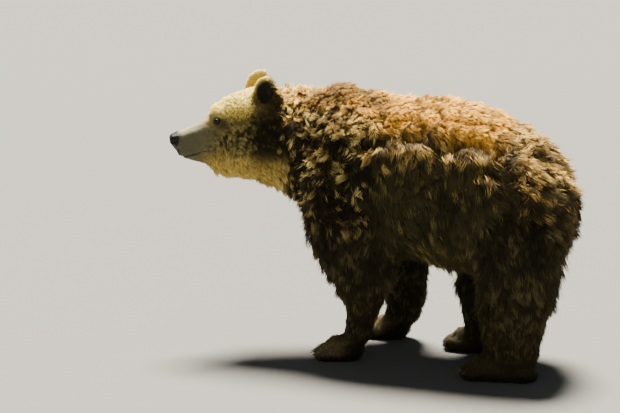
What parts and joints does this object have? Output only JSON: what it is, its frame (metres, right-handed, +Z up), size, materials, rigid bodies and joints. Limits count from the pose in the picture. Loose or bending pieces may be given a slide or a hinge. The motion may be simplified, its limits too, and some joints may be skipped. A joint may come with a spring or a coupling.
{
  "type": "brown bear model",
  "caption": "Life-size standing brown bear with a shoulder hump, round ears, a long pale muzzle and a thick shaggy coat, its head turned a little to its left, on four flat-soled paws.",
  "frame": {"origin": "centre of the bounding box at floor level, under the belly", "axes": "+Z up, the bear faces -Y, its left side is towards +X"},
  "size_m": [0.584, 1.6398, 1.1087],
  "materials": {
    "brown_fur": "long shaggy coat, golden brown tips over dark brown",
    "dark_fur": "dark brown fur of the legs and feet",
    "pale_fur": "short golden fur of the head and ears",
    "nose": "moist black skin",
    "eye": "wet dark brown eye",
    "claw": "grey-brown horn"
  },
  "bodies": {
    "root": {"claw_fore_left_1": "claw", "claw_fore_left_2": "claw", "claw_fore_left_3": "claw", "claw_fore_left_4": "claw", "claw_fore_left_5": "claw", "claw_fore_right_1": "claw", "claw_fore_right_2": "claw", "claw_fore_right_3": "claw", "claw_fore_right_4": "claw", "claw_fore_right_5": "claw", "claw_hind_left_1": "claw", "claw_hind_left_2": "claw", "claw_hind_left_3": "claw", "claw_hind_left_4": "claw", "claw_hind_left_5": "claw", "claw_hind_right_1": "claw", "claw_hind_right_2": "claw", "claw_hind_right_3": "claw", "claw_hind_right_4": "claw", "claw_hind_right_5": "claw", "ear_left": "pale_fur", "ear_right": "pale_fur", "eye_left": "eye", "eye_right": "eye", "head": "pale_fur", "jaw": "pale_fur", "neck": "brown_fur", "nose": "nose", "tail": "brown_fur", "trunk": "brown_fur", "foreleg_left_upper": "dark_fur", "foreleg_left_lower": "dark_fur", "forepaw_left": "dark_fur", "foreleg_right_upper": "dark_fur", "foreleg_right_lower": "dark_fur", "forepaw_right": "dark_fur", "hindleg_left_upper": "dark_fur", "hindleg_left_lower": "dark_fur", "hindpaw_left": "dark_fur", "hindleg_right_upper": "dark_fur", "hindleg_right_lower": "dark_fur", "hindpaw_right": "dark_fur"}
  },
  "joints": []
}
